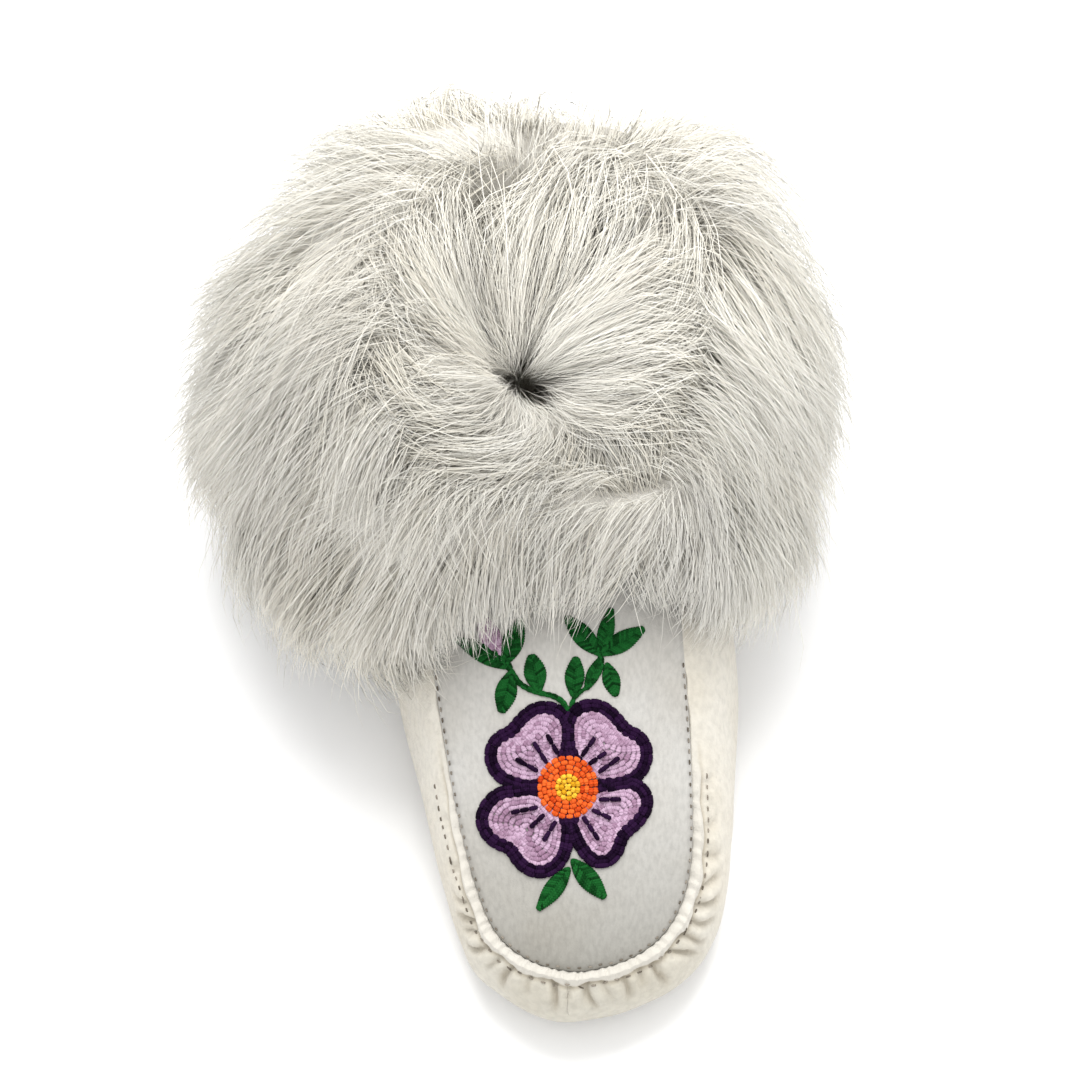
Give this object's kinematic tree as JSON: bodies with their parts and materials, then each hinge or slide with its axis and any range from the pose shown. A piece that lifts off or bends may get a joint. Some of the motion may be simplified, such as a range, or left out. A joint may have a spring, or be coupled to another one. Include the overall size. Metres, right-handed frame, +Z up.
{
  "type": "fur slipper",
  "caption": "Right moccasin slipper of cream hide, gathered at the toe onto an embroidered wool vamp, with a felt insole and a deep light grey fur cuff",
  "frame": {"origin": "on the floor under the middle of the sole, halfway along the hide from toe to heel", "axes": "+Z up, -Y towards the toe, -X the outer side of the foot"},
  "size_m": [0.2083, 0.2864, 0.1374],
  "materials": {
    "hide": "soft cream suede",
    "wool": "fulled wool cloth",
    "felt": "plain felt",
    "fur": "long soft fur",
    "purple_thread": "twisted embroidery thread",
    "lilac_thread": "twisted embroidery thread",
    "orange_thread": "twisted embroidery thread",
    "yellow_thread": "twisted embroidery thread",
    "green_thread": "twisted embroidery thread",
    "grey_thread": "sewing thread"
  },
  "bodies": {
    "root": {"sole_and_sides": "hide", "vamp": "wool", "insole": "felt", "fur_cuff": "fur"}
  },
  "joints": []
}
